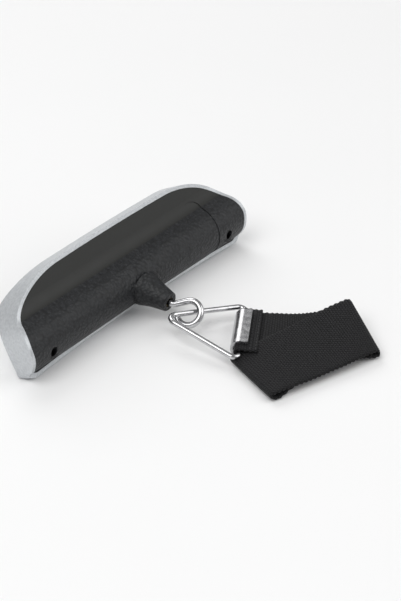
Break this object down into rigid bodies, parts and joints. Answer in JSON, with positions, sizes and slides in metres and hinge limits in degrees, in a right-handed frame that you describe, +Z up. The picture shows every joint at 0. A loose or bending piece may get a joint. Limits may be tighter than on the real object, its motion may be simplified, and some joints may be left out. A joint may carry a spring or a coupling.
{
  "type": "digital luggage scale",
  "caption": "Hand-held digital luggage scale with a T-shaped grip, swivelling wire eye, triangular ring and webbing strap with a hook clip.",
  "frame": {"origin": "middle of the bounding box at table height", "axes": "+X along the handle, +Y towards its display side, +Z up from the table it lies on"},
  "size_m": [0.147, 0.1334, 0.0377],
  "materials": {
    "silver_shell": "silver lacquer over ABS, satin",
    "black_housing": "moulded, smooth wing and pebbled bulb",
    "dark_steel": "blackened",
    "brass": "turned",
    "aluminium": "machined",
    "gauge_film": "amber film",
    "steel": "bright plated wire",
    "clear_lens": "clear acrylic",
    "lcd": "grey-green display",
    "grey_rubber": "striped conductive rubber",
    "green_board": "solder mask",
    "black_epoxy": "moulded",
    "switch_body": "moulded",
    "grey_key": "satin",
    "spring_steel": "plain",
    "webbing": "woven black polypropylene webbing",
    "thread": "black thread",
    "clip_steel": "nickel plated pressing"
  },
  "bodies": {
    "handle": {"front_shell": "silver_shell", "rear_cover": "black_housing", "housing_screws": "dark_steel", "neck_bush": "brass", "load_cell": "aluminium", "strain_gauges": "gauge_film", "load_cell_screws": "steel", "display_window": "clear_lens", "lcd_panel": "lcd", "lcd_contact_strips": "grey_rubber", "circuit_board": "green_board", "measuring_chip": "black_epoxy", "board_screws": "steel", "tact_switches": "switch_body", "coin_cell": "steel", "battery_contact_minus": "spring_steel", "battery_contact_plus": "spring_steel"},
    "door": {"battery_door": "black_housing"},
    "on_off": {"on_off_button": "grey_key"},
    "unit": {"unit_button": "grey_key"},
    "eye": {"hook_eye": "steel", "shank_washer": "steel", "shank_nut": "steel"},
    "ring": {"triangle_ring": "steel"},
    "strap": {"strap_sewn_eye": "webbing", "strap_lower_run": "webbing", "strap_upper_run": "webbing", "strap_end_turn": "webbing", "strap_fold": "webbing", "strap_under_run": "webbing", "strap_stitching": "thread", "hook_clip": "clip_steel"}
  },
  "joints": [
    {"name": "door_lift", "type": "slide", "parent": "handle", "child": "door", "axis": [0, -0.8829, 0.4695], "range_m": [0, 0.012]},
    {"name": "on_off_press", "type": "slide", "parent": "handle", "child": "on_off", "axis": [0, -0.8829, 0.4695], "range_m": [0, 0.0005], "stiffness_N_per_m": 900},
    {"name": "unit_press", "type": "slide", "parent": "handle", "child": "unit", "axis": [0, -0.8829, 0.4695], "range_m": [0, 0.0005], "stiffness_N_per_m": 900},
    {"name": "eye_swivel", "type": "hinge", "parent": "handle", "child": "eye", "pos_m": [0, 0.02494, 0.00983], "axis": [0, -0.9919, -0.1271], "continuous": true},
    {"name": "ring_swing", "type": "hinge", "parent": "eye", "child": "ring", "pos_m": [0, 0.01433, 0.00847], "axis": [0.8499, 0.527, 0], "range_deg": [-12, 35]},
    {"name": "strap_swing", "type": "hinge", "parent": "ring", "child": "strap", "pos_m": [0.00676, -0.00944, 0.0046], "axis": [0.8499, 0.527, 0], "range_deg": [-90, 90]}
  ]
}
